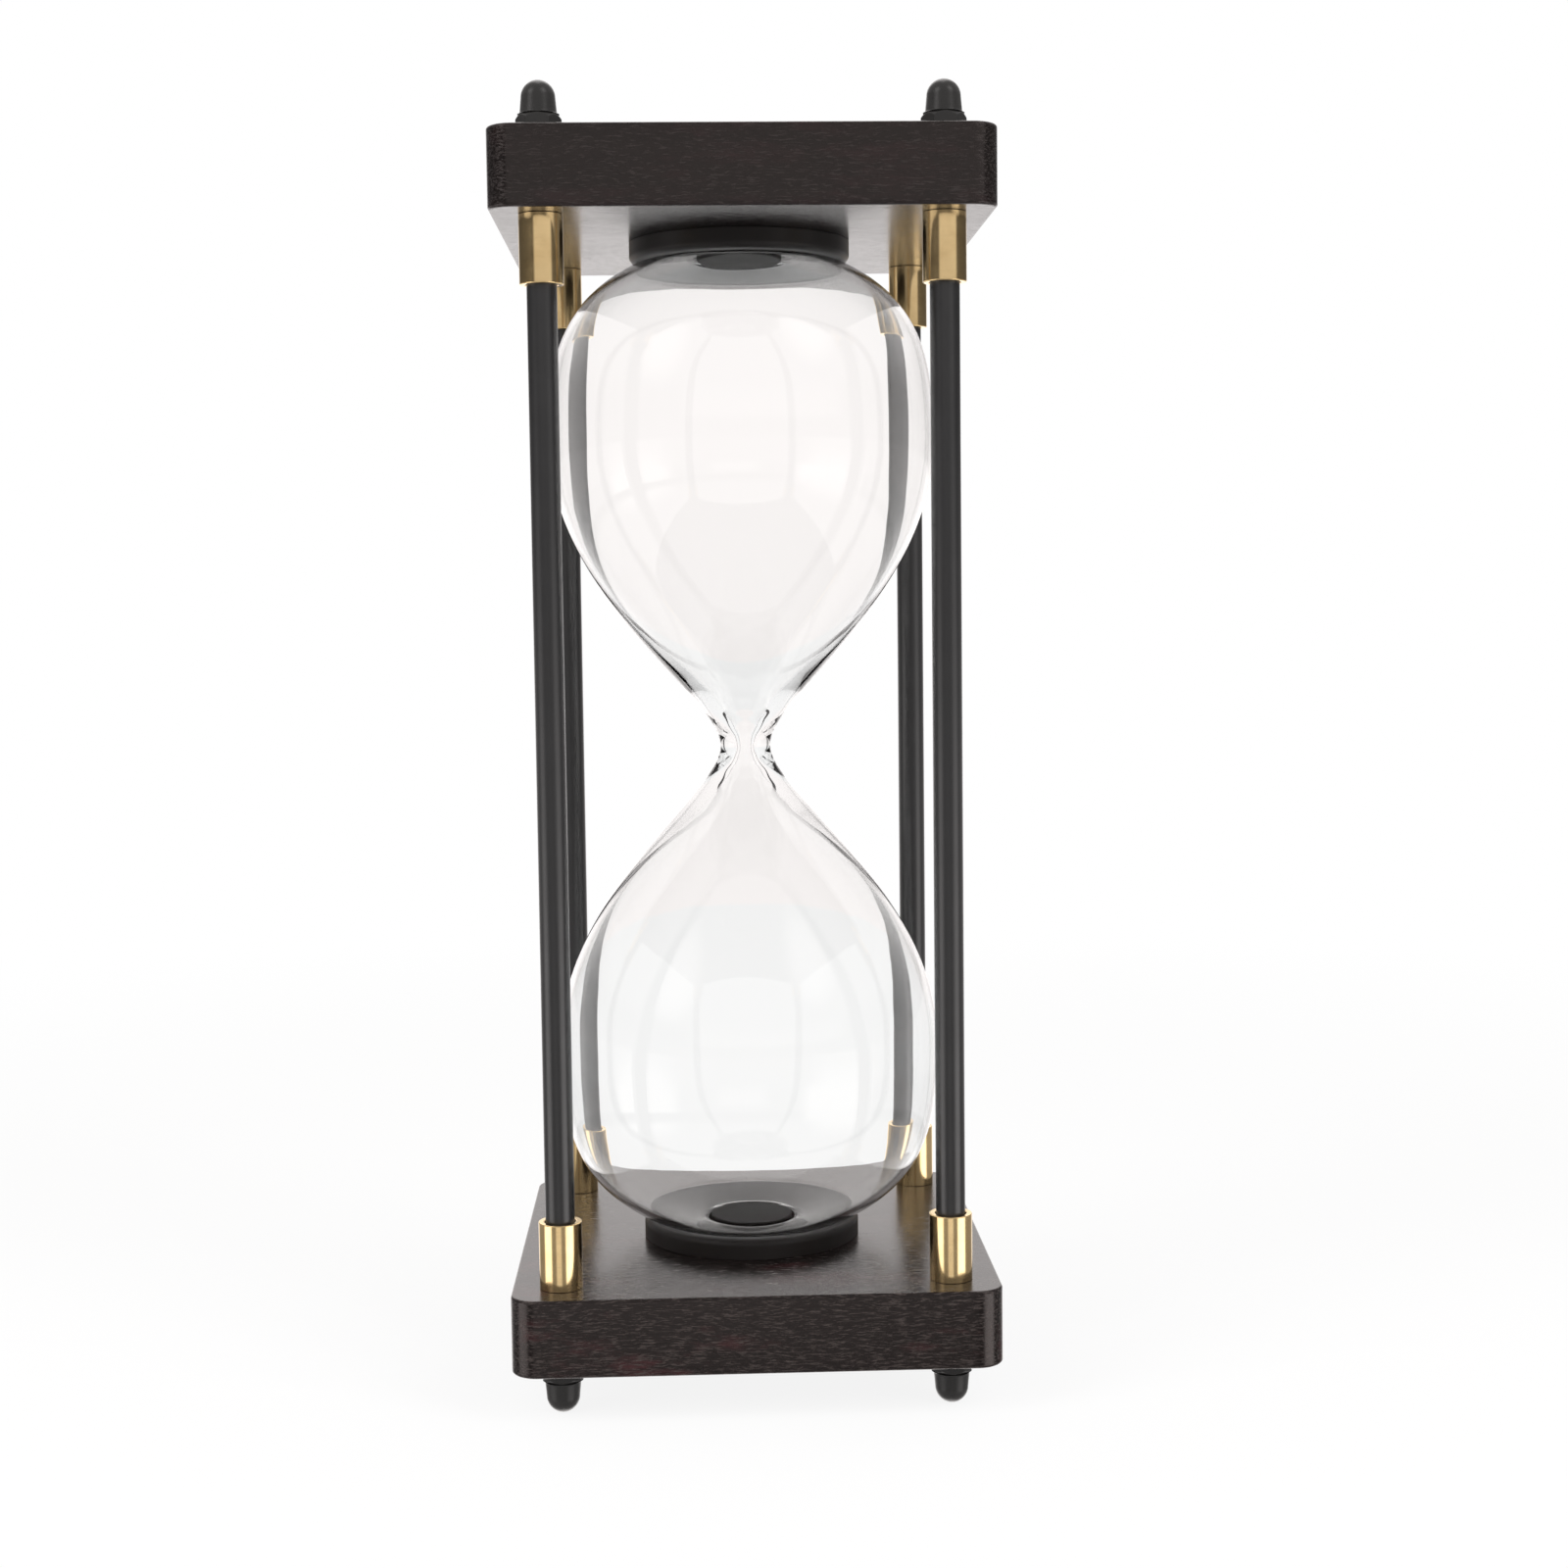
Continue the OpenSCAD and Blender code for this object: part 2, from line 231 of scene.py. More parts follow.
def hang_softbox(name, bearing, height, distance, size, power):
    """A rectangular lamp at a bearing from the camera's side, aimed at the object. It lights
    the object only; its reflections are the soft patches of the surround."""
    aim_at = 0.14
    lamp = bpy.data.lights.new(name, "AREA")
    lamp.shape = "RECTANGLE"
    lamp.size, lamp.size_y = size
    lamp.energy = power
    holder = bpy.data.objects.new(name, lamp)
    turn = math.radians(bearing)
    holder.location = (distance * math.sin(turn), -distance * math.cos(turn), height)
    slope = math.atan2(height - aim_at, distance)
    holder.rotation_euler = (math.pi / 2 - slope, 0, turn)
    holder.visible_camera = False
    holder.visible_glossy = False
    holder.visible_transmission = False
    bpy.context.scene.collection.objects.link(holder)


hang_softbox("softbox left", -58, 0.7, 1.0, (0.45, 0.9), 9)
hang_softbox("softbox right", 52, 0.75, 1.0, (0.45, 0.9), 9)


# ---- Plates ----------------------------------------------------------------
# Two square blocks of fine-grained hardwood, sawn with the grain running left to
# right, rounded at the corners, drilled for the four rods, stained nearly black
# and sprayed with a satin lacquer that leaves the pores open.

MM = 0.001


def noise(tree, place, scale, detail=4.0, rough=0.5, **settings):
    """Fractal noise, as its value."""
    inputs = {"Vector": place, "Scale": scale, "Detail": detail, "Roughness": rough}
    return put(tree, "TexNoise", inputs, **settings).outputs[0]


def stretched(tree, place, x, y, z, shift=(0, 0, 0)):
    """A place in metres turned into pattern units, so many to the millimetre each way."""
    scale = (x / MM, y / MM, z / MM)
    return put(tree, "Mapping", {0: place, 1: shift, 3: scale}).outputs[0]


def new_group(name, inputs, outputs):
    """An empty node group with its named sockets: (tree, its inputs, its output node)."""
    tree = bpy.data.node_groups.new(name, "ShaderNodeTree")
    for label, kind, value in inputs:
        socket = tree.interface.new_socket(label, in_out="INPUT", socket_type="NodeSocket" + kind)
        if value is not None:
            socket.default_value = value
    for label, kind in outputs:
        tree.interface.new_socket(label, in_out="OUTPUT", socket_type="NodeSocket" + kind)
    entry = tree.nodes.new("NodeGroupInput").outputs
    return tree, entry, tree.nodes.new("NodeGroupOutput")


def place_group(tree, group, inputs):
    """A node that holds the group, with its inputs fed by name."""
    made = tree.nodes.new("ShaderNodeGroup")
    made.node_tree = group
    for key, value in inputs.items():
        if isinstance(value, bpy.types.NodeSocket):
            tree.links.new(value, made.inputs[key])
        else:
            made.inputs[key].default_value = value
    return made.outputs


def new_surface(name, **constants):
    """A material whose Principled shader has these constants: (material, tree, shader)."""
    material = bpy.data.materials.new(name)
    material.use_nodes = True
    tree = material.node_tree
    shader = tree.nodes["Principled BSDF"]
    for label, value in constants.items():
        shader.inputs[label.replace("_", " ")].default_value = value
    return material, tree, shader


def build_grain():
    """Long fibres stretched along X, short raised dashes whose pale colour is a painted glint of
    light caught in the open pores, broad bands, and reddish patches of stain; end grain comes from
    the same pattern cut across."""
    tree, entry, leave = new_group(
        "stained grain",
        [("Vector", "Vector", None), ("Patches", "Float", 0.5), ("Dashes", "Float", 0.5),
         ("Dark", "Color", (0.02, 0.015, 0.014, 1)), ("Warm", "Color", (0.06, 0.03, 0.028, 1)),
         ("Pale glint", "Color", (0.08, 0.07, 0.066, 1))],
        [("Color", "Color"), ("Roughness", "Float"), ("Height", "Float")],
    )
    place = entry["Vector"]
    wander = noise(tree, stretched(tree, place, 0.07, 0.07, 0.07), 1.0, 3.0)
    quiver = noise(tree, stretched(tree, place, 0.35, 0.35, 0.35), 1.0, 2.0)
    sway = sums(tree, "MULTIPLY", wander, 2.2 * MM)
    sway = sums(tree, "MULTIPLY_ADD", quiver, 0.45 * MM, sway)
    shift = put(tree, "CombineXYZ", {1: sway, 2: sway}).outputs[0]
    bent = put(tree, "VectorMath", {0: place, 1: shift}).outputs[0]
    bands = noise(tree, stretched(tree, bent, 0.008, 0.2, 0.3), 1.0, 3.0, 0.6)
    fibres = noise(tree, stretched(tree, bent, 0.16, 1.5, 1.9), 1.0, 4.0, 0.65)
    dashes = noise(tree, stretched(tree, bent, 0.4, 2.4, 3.2), 1.0, 3.0, 0.7)
    dashes = sums(tree, "MULTIPLY", ramp(tree, dashes, 0.48, 0.66), entry["Dashes"])
    patches = noise(tree, stretched(tree, bent, 0.035, 0.09, 0.11), 1.0, 4.0, 0.65)
    patches = sums(tree, "MULTIPLY", ramp(tree, patches, 0.52, 0.68), entry["Patches"])
    base = put(tree, "Mix", {0: patches, 6: entry["Dark"], 7: entry["Warm"]}, data_type="RGBA")
    tone = sums(tree, "MULTIPLY_ADD", fibres, 0.6, sums(tree, "MULTIPLY", bands, 0.4))
    tone = ramp(tree, tone, 0.3, 0.75, 0.55, 1.6)
    toned = put(tree, "VectorMath", {0: base.outputs[2], 3: tone}, operation="SCALE").outputs[0]
    # The dashes take the pale colour: a painted glint, laid over their real bump and roughness.
    lit = put(tree, "Mix", {0: dashes, 6: toned, 7: entry["Pale glint"]}, data_type="RGBA").outputs[2]
    rough = sums(tree, "MULTIPLY_ADD", fibres, 0.12, sums(tree, "MULTIPLY", dashes, 0.1))
    height = sums(tree, "MULTIPLY_ADD", fibres, 0.5, dashes)
    for label, value in (("Color", lit), ("Roughness", rough), ("Height", height)):
        tree.links.new(value, leave.inputs[label])
    return tree


def build_handling():
    """Broad soft patches where a surface was wiped or touched, as a roughness that swings
    either side of a middle value."""
    tree, entry, leave = new_group(
        "handling marks",
        [("Vector", "Vector", None), ("Size", "Float", 12.0), ("Middle", "Float", 0.3),
         ("Swing", "Float", 0.05)],
        [("Roughness", "Float")],
    )
    scale = sums(tree, "DIVIDE", 1 / MM, entry["Size"])
    patches = noise(tree, entry["Vector"], scale, 3.0, 0.55)
    offset = sums(tree, "MULTIPLY_ADD", patches, 2.0, -1.0)
    value = sums(tree, "MULTIPLY_ADD", offset, entry["Swing"], entry["Middle"])
    tree.links.new(value, leave.inputs["Roughness"])
    return tree


grain = build_grain()
handling = build_handling()


def lacquered_wood(name, patches, dashes, dark, warm, pale_glint, relief, shift):
    """Stained wood under satin lacquer; shift picks another part of the tree."""
    material, tree, shader = new_surface(name, IOR=1.5, Specular_Tint=(1, 0.9, 0.87, 1))
    place = put(tree, "TexCoord").outputs["Object"]
    place = put(tree, "Mapping", {0: place, 1: shift}).outputs[0]
    wood = place_group(tree, grain, {
        "Vector": place, "Patches": patches, "Dashes": dashes, "Dark": dark, "Warm": warm,
        "Pale glint": pale_glint})
    worn = place_group(tree, handling, {"Vector": place, "Size": 26, "Middle": 0.13, "Swing": 0.04})
    rough = sums(tree, "ADD", wood["Roughness"], worn["Roughness"])
    tree.links.new(wood["Color"], shader.inputs["Base Color"])
    tree.links.new(rough, shader.inputs["Roughness"])
    bump = put(tree, "Bump", {"Height": wood["Height"], "Strength": relief, "Distance": 0.06 * MM})
    tree.links.new(bump.outputs[0], shader.inputs["Normal"])
    return material


# The last colour given for each plate is the painted glint of its grain dashes.
lower_wood = lacquered_wood(
    "lower plate wood", 1.0, 0.8, (0.003, 0.0015, 0.0015, 1), (0.026, 0.006, 0.0075, 1),
    (0.05, 0.04, 0.037, 1), 0.2, (0, 0, 0))
upper_wood = lacquered_wood(
    "upper plate wood", 0.5, 0.5, (0.0045, 0.0032, 0.003, 1), (0.015, 0.006, 0.0068, 1),
    (0.034, 0.028, 0.027, 1), 0.35, (0.31, 0.2, 0.1))


def join_patches(patches):
    """Vertices and quads of several grids of points; each grid is rows by columns by 3."""
    points, quads, start = [], [], 0
    for grid in patches:
        rows, columns = grid.shape[:2]
        number = start + np.arange(rows * columns).reshape(rows, columns)
        quad = np.stack([number[:-1, :-1], number[:-1, 1:], number[1:, 1:], number[1:, :-1]], -1)
        points.append(grid.reshape(-1, 3))
        quads.append(quad.reshape(-1, 4))
        start += rows * columns
    return np.concatenate(points), np.concatenate(quads)


def make_piece(name, patches, material, node, body, smooth_to=32):
    """A closed piece from grids in millimetres: seams and poles are welded, faces are turned
    outwards, and edges sharper than smooth_to degrees stay crisp."""
    points, quads = join_patches(patches)
    mesh = bpy.data.meshes.new(name)
    mesh.from_pydata((points * MM).tolist(), [], quads.tolist())
    shell = bmesh.new()
    shell.from_mesh(mesh)
    bmesh.ops.remove_doubles(shell, verts=shell.verts, dist=0.002 * MM)
    bmesh.ops.dissolve_degenerate(shell, edges=shell.edges, dist=0.0005 * MM)
    bmesh.ops.recalc_face_normals(shell, faces=shell.faces)
    if shell.calc_volume(signed=True) < 0:
        bmesh.ops.reverse_faces(shell, faces=shell.faces)
    shell.to_mesh(mesh)
    shell.free()
    mesh.shade_smooth()
    mesh.set_sharp_from_angle(angle=math.radians(smooth_to))
    mesh.materials.append(material)
    piece = bpy.data.objects.new(name, mesh)
    bpy.context.scene.collection.objects.link(piece)
    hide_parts(node)
    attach(piece, body)
    return piece


def plate_patches(low, high, hole_at, hole_r=2.75, corner_r=5.5, edge_r=0.6):
    """One quarter of a plate, then its mirror images. A quarter's outline runs along one
    side, round the corner and along the next; each face is ruled from the hole's rim to
    that outline and to the middle lines, and the edges are quarter rounds swept outwards."""
    half = (high[0] - low[0]) / 2
    straight = np.linspace(0, half - corner_r, 40)
    bend = np.linspace(0, np.pi / 2, 17)
    side = np.stack([straight, half + 0 * straight], 1)
    centre = half - corner_r
    corner = centre + corner_r * np.stack([np.sin(bend), np.cos(bend)], 1)
    outline = np.concatenate([side, corner[1:-1], side[::-1, ::-1]])
    normals = np.concatenate([
        np.stack([0 * straight, 1 + 0 * straight], 1),
        np.stack([np.sin(bend), np.cos(bend)], 1)[1:-1],
        np.stack([1 + 0 * straight, 0 * straight], 1)])
    edge = outline - edge_r * normals
    back = np.linspace(0, half - edge_r, 44)[1:-1]
    down_x = np.stack([back[::-1], 0 * back], 1)
    up_y = np.stack([0 * back, back], 1)
    loop = np.concatenate([edge, down_x, [[0, 0]], up_y, edge[:1]])
    from_hole = loop - hole_at
    rim = hole_at + hole_r * from_hole / np.linalg.norm(from_hole, axis=1, keepdims=True)
    share = np.array([0, 0.02, 0.1, 0.25, 0.45, 0.65, 0.82, 0.93, 0.985, 1])[:, None, None]
    face = rim + share * (loop - rim)
    z_low, z_high = low[2], high[2]

    def at_height(flat, z):
        """Flat points given a height each."""
        return np.concatenate([flat, np.broadcast_to(z, flat.shape[:-1])[..., None]], -1)

    arc = np.linspace(0, np.pi / 2, 8)
    out = np.concatenate([np.sin(arc), np.sin(arc)[::-1]]) * edge_r
    drop = edge_r * (1 - np.cos(arc))
    rise = np.concatenate([z_high - drop, (z_low + drop)[::-1]])
    guard = 0.3
    out = np.insert(out, len(arc), [edge_r, edge_r])
    rise = np.insert(rise, len(arc), [z_high - edge_r - guard, z_low + edge_r + guard])
    wall = at_height(edge + out[:, None, None] * normals, rise[:, None])
    tube = np.stack([at_height(rim, z_high), at_height(rim, z_low)])
    quarter = [at_height(face, z_high), at_height(face, z_low), wall, tube]
    return [grid * (sx, sy, 1) for grid in quarter for sx in (1, -1) for sy in (1, -1)]


def box_mm(node):
    """A CAD node's lowest and highest corners in millimetres."""
    return [np.array(corner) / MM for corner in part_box(node)]


ROD_AT = np.mean([corner[:2] for corner in box_mm("rod_back_right")], axis=0)
for plate_node, plate_body, wood in (
    ("bottom_plate", "frame_base", lower_wood),
    ("top_plate", "top", upper_wood),
):
    make_piece(plate_node + "_wood", plate_patches(*box_mm(plate_node), ROD_AT),
               wood, plate_node, plate_body)

FLOOR_Z = box_mm("bottom_plate")[1][2]
CEILING_Z = box_mm("top_plate")[0][2]


# ---- Rods ------------------------------------------------------------------
# Four turned steel rods, coated satin black. Each end is turned down and threaded
# where it runs through a ferrule and a plate into an acorn nut.

CORNERS = {
    "front_left": (-1, -1), "front_right": (1, -1), "back_left": (-1, 1), "back_right": (1, 1)}


def rounded(corners, radii, steps=6, guard=0.35):
    """An outline of (radius, height) corners with each inner corner rounded by an arc of its
    own radius, and a point set just clear of each arc so that long runs shade flat."""
    corners = np.array(corners, float)
    run = np.diff(corners, axis=0)
    run /= np.linalg.norm(run, axis=1, keepdims=True)
    path = [corners[:1]]
    for here, before, after, radius in zip(corners[1:-1], run[:-1], run[1:], radii):
        turn = math.atan2(before[0] * after[1] - before[1] * after[0], before @ after)
        if radius == 0 or abs(turn) < 1e-6:
            path.append(here[None])
            continue
        reach = radius * math.tan(abs(turn) / 2)
        left = np.array([-before[1], before[0]]) * math.copysign(1, turn)
        centre = here - reach * before + radius * left
        swing = np.linspace(0, turn, steps + 1)
        spoke = -left
        arc = centre + radius * np.stack([
            spoke[0] * np.cos(swing) - spoke[1] * np.sin(swing),
            spoke[0] * np.sin(swing) + spoke[1] * np.cos(swing)], 1)
        space = guard * radius
        path += [(arc[0] - space * before)[None], arc, (arc[-1] + space * after)[None]]
    path.append(corners[-1:])
    return np.concatenate(path)


def turned(outline, at=(0, 0), around=64):
    """A surface of revolution: each (radius, height) of the outline carried round an upright
    axis, so a point is at + radius times (cos, sin) of the angle."""
    angle = np.linspace(0, 2 * np.pi, around + 1)
    radius, height = outline[:, :1], outline[:, 1:]
    return np.stack([
        at[0] + radius * np.cos(angle), at[1] + radius * np.sin(angle),
        height + 0 * angle], -1)


def build_peel():
    """Sprayed or moulded skin: a fine even pebble, and sparse bright specks of dust."""
    tree, entry, leave = new_group(
        "coated skin",
        [("Vector", "Vector", None), ("Pebble", "Float", 0.5), ("Depth", "Float", 0.5)],
        [("Normal", "Vector"), ("Specks", "Float")],
    )
    scale = sums(tree, "DIVIDE", 1 / MM, entry["Pebble"])
    pebble = noise(tree, entry["Vector"], scale, 2.0, 0.5)
    bump = put(tree, "Bump", {
        "Height": pebble, "Strength": entry["Depth"], "Distance": 0.03 * MM}).outputs[0]
    dots = put(tree, "TexVoronoi", {"Vector": entry["Vector"], "Scale": 0.45 / MM})
    specks = ramp(tree, dots.outputs["Distance"], 0.03, 0.07, 1.0, 0.0)
    chance = ramp(tree, noise(tree, entry["Vector"], 0.2 / MM, 2.0), 0.5, 0.7)
    specks = sums(tree, "MULTIPLY", specks, chance)
    tree.links.new(bump, leave.inputs["Normal"])
    tree.links.new(specks, leave.inputs["Specks"])
    return tree


peel = build_peel()


def coated(name, color, dust_color, rough, swing, pebble, depth, **constants):
    """Black coat or moulding with a fine pebble, faint dust and handling marks."""
    material, tree, shader = new_surface(name, **constants)
    place = put(tree, "TexCoord").outputs["Object"]
    skin = place_group(tree, peel, {"Vector": place, "Pebble": pebble, "Depth": depth})
    worn = place_group(
        tree, handling, {"Vector": place, "Size": 9, "Middle": rough, "Swing": swing})
    dust = sums(tree, "MULTIPLY", skin["Specks"], 0.5)
    cloud = ramp(tree, noise(tree, place, 0.12 / MM, 4.0), 0.35, 0.75, 0.0, 0.35)
    mask = sums(tree, "MAXIMUM", dust, cloud)
    base = put(tree, "Mix", {0: mask, 6: color, 7: dust_color}, data_type="RGBA").outputs[2]
    tree.links.new(base, shader.inputs["Base Color"])
    tree.links.new(worn["Roughness"], shader.inputs["Roughness"])
    tree.links.new(skin["Normal"], shader.inputs["Normal"])
    return material


rod_black = coated("rod satin black", (0.006, 0.006, 0.0065, 1), (0.012, 0.012, 0.013, 1),
                   0.3, 0.05, 0.35, 0.3, Specular_IOR_Level=0.8)
rod_low, rod_high = box_mm("rod_front_left")
rod_r = (rod_high[0] - rod_low[0]) / 2
thread_r = 2.5
ferrule_floor = 1
shoulders = (FLOOR_Z + ferrule_floor, CEILING_Z - ferrule_floor)
rod_outline = rounded(
    [(0, rod_low[2]), (thread_r, rod_low[2]), (thread_r, shoulders[0]), (rod_r, shoulders[0]),
     (rod_r, shoulders[1]), (thread_r, shoulders[1]), (thread_r, rod_high[2]), (0, rod_high[2])],
    (0.5, 0, 0.3, 0.3, 0, 0.5))
for corner, (side_x, side_y) in CORNERS.items():
    node = "rod_" + corner
    axis = ROD_AT * (side_x, side_y)
    make_piece(node + "_steel", [turned(rod_outline, axis)],
               rod_black, node, "frame_base")


# ---- Ferrules --------------------------------------------------------------
# Eight brass cups, turned and bored to fit the rod, then polished. Each slips over a rod's
# end, open towards the middle of the rod, with its floor clamped against a plate.

def polished_brass():
    """Polished brass: faint rings left by the polishing wheel, and slow tarnish."""
    material, tree, shader = new_surface("polished brass", Metallic=1.0)
    place = put(tree, "TexCoord").outputs["Object"]
    rings = noise(tree, stretched(tree, place, 0.05, 0.05, 6.0), 1.0, 3.0, 0.6)
    worn = place_group(tree, handling, {"Vector": place, "Size": 5, "Middle": 0.13, "Swing": 0.04})
    rough = sums(tree, "MULTIPLY_ADD", rings, 0.06, worn["Roughness"])
    tarnish = ramp(tree, noise(tree, place, 0.25 / MM, 4.0), 0.4, 0.8)
    base = put(tree, "Mix", {0: tarnish, 6: (0.86, 0.64, 0.33, 1), 7: (0.76, 0.55, 0.27, 1)},
               data_type="RGBA").outputs[2]
    bump = put(tree, "Bump", {"Height": rings, "Strength": 0.15, "Distance": 0.02 * MM})
    tree.links.new(base, shader.inputs["Base Color"])
    tree.links.new(rough, shader.inputs["Roughness"])
    tree.links.new(bump.outputs[0], shader.inputs["Normal"])
    return material


brass = polished_brass()
ferrule_low, ferrule_high = box_mm("ferrule_lower_front_left")
ferrule_r = (ferrule_high[0] - ferrule_low[0]) / 2
ferrule_len = ferrule_high[2] - ferrule_low[2]
ferrule_bore = ferrule_r - 1.2
ferrule_hole = thread_r + 0.1
cup = rounded(
    [(ferrule_hole, 0.5 * ferrule_floor), (ferrule_hole, 0), (ferrule_r, 0),
     (ferrule_r, ferrule_len), (ferrule_bore, ferrule_len), (ferrule_bore, ferrule_floor),
     (ferrule_hole, ferrule_floor), (ferrule_hole, 0.5 * ferrule_floor)],
    (0, 0.12, 0.2, 0.2, 0.1, 0))
for end, foot, up in (("lower", FLOOR_Z, 1), ("upper", CEILING_Z, -1)):
    for corner, (side_x, side_y) in CORNERS.items():
        node = "ferrule_%s_%s" % (end, corner)
        outline = cup * (1, up) + (0, foot)
        make_piece(node + "_brass", [turned(outline, ROD_AT * (side_x, side_y), 96)],
                   brass, node, "frame_base")


# ---- Acorn nuts ------------------------------------------------------------
# Eight black acorn nuts screwed on to the rod ends. A low bevelled hexagon carries
# a tall, slightly tapered dome; the lower four stand on their domes as the feet.

nut_black = coated("nut satin black", (0.014, 0.0135, 0.013, 1), (0.024, 0.023, 0.022, 1),
                   0.3, 0.06, 0.3, 0.4)
nut_low, nut_high = box_mm("nut_upper_front_left")
nut_h = nut_high[2] - nut_low[2]
nut_flats = 8.0
hex_h = 3.3
dome_r, cap_r = 3.7, 3.4
thread_hole = (2.55, 7.6)


def nut_patches(at, foot, up):
    """A turned outline cut down to a hexagon: the radius is the smaller of the outline's own
    and the hexagon's reach at that angle, blended so that the cut has no hard edge. The
    hexagon's corners are worn back a little."""
    corner_r = nut_flats / math.sqrt(3)
    bevel_slope = math.tan(math.radians(50))
    wide = corner_r + 0.6
    bevel_top = (dome_r + 0.1, hex_h)
    bevel_foot = (wide, hex_h - (wide - bevel_top[0]) * bevel_slope)
    body = rounded([(thread_hole[0], 0), (wide, 0), bevel_foot], (0.25,))
    bevel = np.linspace(bevel_foot, bevel_top, 26)[1:]
    stem = rounded([bevel_top, (dome_r, hex_h), (cap_r, nut_h - cap_r)], (0.35,))[1:]
    swing = np.linspace(0, np.pi / 2, 15)[1:]
    cap = np.stack([cap_r * np.cos(swing), nut_h - cap_r + cap_r * np.sin(swing)], 1)
    hole = np.array([(0, thread_hole[1] + 0.4), (thread_hole[0], thread_hole[1]),
                     (thread_hole[0], 0.3), (thread_hole[0], 0)])
    outline = np.concatenate([hole, body[1:], bevel, stem, cap])
    grid = turned(outline, around=240)
    angle = np.linspace(0, 2 * np.pi, 241)
    reach = (nut_flats / 2) / np.cos(angle % (np.pi / 3) - np.pi / 6)
    worn_r, keep = 4.5, 0.6
    reach = np.where(reach > worn_r, worn_r + keep * (reach - worn_r), reach)
    own = np.maximum(outline[:, :1], 1e-9)
    blend = 0.05
    least = 0.5 * (own + reach - np.sqrt((own - reach) ** 2 + blend ** 2)) + 0 * own
    share = np.where(own > dome_r + 0.05, least / own, 1)
    grid[..., :2] *= share[..., None]
    return [grid * (1, 1, up) + (at[0], at[1], foot)]


plate_top = box_mm("top_plate")[1][2]
plate_foot = box_mm("bottom_plate")[0][2]
for end, foot, up in (("upper", plate_top, 1), ("lower", plate_foot, -1)):
    for corner, (side_x, side_y) in CORNERS.items():
        node = "nut_%s_%s" % (end, corner)
        make_piece(node + "_steel", nut_patches(ROD_AT * (side_x, side_y), foot, up),
                   nut_black, node, node)


# ---- Seat rings ------------------------------------------------------------
# Two moulded black rings glued to the plates. A bulb's flattened end lies in each
# ring's dished recess, and its mouth drops into the hole in the middle.

ring_black = coated("seat ring black", (0.013, 0.011, 0.0105, 1), (0.02, 0.018, 0.017, 1),
                    0.42, 0.06, 0.45, 0.5, Specular_IOR_Level=0.3)
ring_low, ring_high = box_mm("seat_ring_lower")
ring_r = (ring_high[0] - ring_low[0]) / 2
ring_h = ring_high[2] - ring_low[2]
seat_gap = 0.3
mouth_r, wall, mouth_bend = 9.15, 1.2, 1.0
lip_gap, mouth_straight = 0.3, 0.22
seat_r = ring_r - 1.6
bend_r = mouth_r + wall + mouth_bend
lip_rise = lip_gap + wall / 2
bend_rise = lip_rise + mouth_straight
rim_to_bend = (ring_h - bend_rise, seat_r - bend_r)
dish = math.atan2(*rim_to_bend) - math.asin((mouth_bend - seat_gap) / math.hypot(*rim_to_bend))
ring_hole = bend_r + seat_gap
hole_edge = ring_h - (seat_r - ring_hole) * math.tan(dish)
ring_outline = rounded(
    [(ring_hole, 0.5 * hole_edge), (ring_hole, 0), (ring_r, 0), (ring_r, ring_h), (seat_r, ring_h),
     (ring_hole, hole_edge), (ring_hole, 0.5 * hole_edge)],
    (0, 0.1, 1.3, 0.15, 0.2), steps=9)
for node, body, foot, up in (
    ("seat_ring_lower", "frame_base", FLOOR_Z, 1),
    ("seat_ring_upper", "top", CEILING_Z, -1),
):
    outline = ring_outline * (1, up) + (0, foot)
    make_piece(node + "_moulding", [turned(outline, around=160)],
               ring_black, node, body)


# ---- Glass -----------------------------------------------------------------
# One piece of clear glass blown as two bulbs and drawn to a thick waist with a fine
# bore. Each bulb's end is pressed slightly flat, with a fire-polished mouth in it.

def clear_glass():
    """Clear blown glass with very faint cords, which bend what is seen through it."""
    material, tree, shader = new_surface(
        "clear glass", Transmission_Weight=1.0, Metallic=0.0, IOR=1.5, Roughness=0.0,
        Specular_Tint=(0.65, 0.65, 0.65, 1))
    place = put(tree, "TexCoord").outputs["Object"]
    cords = noise(tree, stretched(tree, place, 0.045, 0.045, 0.02), 1.0, 2.0, 0.5)
    tint = put(tree, "Mix", {0: cords, 6: (0.988, 0.991, 0.988, 1), 7: (0.995, 0.996, 0.995, 1)},
               data_type="RGBA").outputs[2]
    bump = put(tree, "Bump", {"Height": cords, "Strength": 0.25, "Distance": 0.4 * MM})
    tree.links.new(tint, shader.inputs["Base Color"])
    tree.links.new(bump.outputs[0], shader.inputs["Normal"])
    return material


half_gap = (CEILING_Z - FLOOR_Z) / 2
waist_z = FLOOR_Z + half_gap
glass_low, glass_high = box_mm("glass_body")
bulb_r = (glass_high[0] - glass_low[0]) / 2
waist_r, waist_bore_r = 5.45, 1.3
widest_h = half_gap - 42
seat_h = half_gap - ring_h - seat_gap / math.cos(dish)
seat_slope = math.radians(25)
into_seat = np.array([math.sin(seat_slope), -math.cos(seat_slope)])
seat = np.array([seat_h, seat_r])
FLARE = np.array([(0, waist_r), (11, waist_r), (widest_h - 34, bulb_r), (widest_h, bulb_r)])
SHOULDER = np.array([(widest_h, bulb_r), (widest_h + 18, bulb_r), seat - 18 * into_seat, seat])


def cubic(p, s):
    """Points and directions of travel on a cubic curve with four control points."""
    s = s[:, None]
    here = ((1 - s) ** 3 * p[0] + 3 * (1 - s) ** 2 * s * p[1]
            + 3 * (1 - s) * s ** 2 * p[2] + s ** 3 * p[3])
    run = (1 - s) ** 2 * (p[1] - p[0]) + 2 * (1 - s) * s * (p[2] - p[1]) + s ** 2 * (p[3] - p[2])
    return here, run / np.linalg.norm(run, axis=1, keepdims=True)


